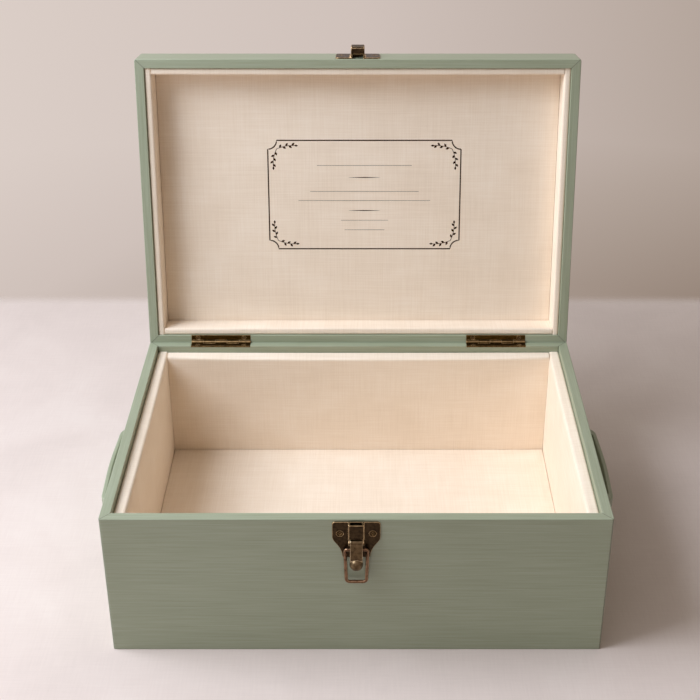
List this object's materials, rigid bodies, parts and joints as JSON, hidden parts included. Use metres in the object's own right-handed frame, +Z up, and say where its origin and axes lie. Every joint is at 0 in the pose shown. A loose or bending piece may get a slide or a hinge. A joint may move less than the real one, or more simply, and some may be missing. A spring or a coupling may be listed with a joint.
{
  "type": "keepsake box",
  "caption": "Open keepsake box: painted timber case and hinged lid with padded linen linings, a front toggle latch with keeper, butt hinges and a bow handle at each end.",
  "frame": {"origin": "centre of the underside of the case", "axes": "+X to the right along the length, -Y out of the latch side, +Z up"},
  "size_m": [0.395, 0.325, 0.3691],
  "materials": {
    "painted_wood": "fine brushed sage green paint on fine-grained timber, satin",
    "bare_board": "plain grey-brown millboard",
    "linen": "natural cream linen over soft padding",
    "aged_brass": "dark antique brass with bright worn edges",
    "screw_brass": "dark antique brass screws with a cross recess",
    "steel": "zinc plated steel"
  },
  "bodies": {
    "case": {"back_board": "bare_board", "back_pad": "linen", "back_wall": "painted_wood", "base_panel": "painted_wood", "case_hinge_screws": "screw_brass", "floor_board": "bare_board", "floor_pad": "linen", "front_board": "bare_board", "front_pad": "linen", "front_wall": "painted_wood", "handle_screws": "steel", "latch_pin": "aged_brass", "latch_plate": "aged_brass", "latch_screws": "screw_brass", "left_board": "bare_board", "left_handle": "painted_wood", "left_hinge_case_leaf": "aged_brass", "left_hinge_pin": "aged_brass", "left_pad": "linen", "left_wall": "painted_wood", "right_board": "bare_board", "right_handle": "painted_wood", "right_hinge_case_leaf": "aged_brass", "right_hinge_pin": "aged_brass", "right_pad": "linen", "right_wall": "painted_wood"},
    "lid": {"keeper_screws": "screw_brass", "latch_keeper": "aged_brass", "left_hinge_lid_leaf": "aged_brass", "lid_back_pad": "linen", "lid_back_rail": "painted_wood", "lid_board": "bare_board", "lid_front_pad": "linen", "lid_front_rail": "painted_wood", "lid_hinge_screws": "screw_brass", "lid_left_pad": "linen", "lid_left_rail": "painted_wood", "lid_linen_panel": "linen", "lid_panel": "painted_wood", "lid_right_pad": "linen", "lid_right_rail": "painted_wood", "right_hinge_lid_leaf": "aged_brass"},
    "lever": {"latch_lever": "aged_brass"},
    "bail": {"latch_bail": "aged_brass"}
  },
  "joints": [
    {"name": "lid_hinge", "type": "hinge", "parent": "case", "child": "lid", "pos_m": [0, 0.1213, 0.1202], "axis": [1, 0, 0], "range_deg": [0, 99]},
    {"name": "lever_lift", "type": "hinge", "parent": "case", "child": "lever", "pos_m": [0, -0.1269, 0.1028], "axis": [-1, 0, 0], "range_deg": [0, 90]},
    {"name": "bail_swing", "type": "hinge", "parent": "lever", "child": "bail", "pos_m": [0, -0.1262, 0.0964], "axis": [-1, 0, 0], "range_deg": [0, 90]}
  ]
}
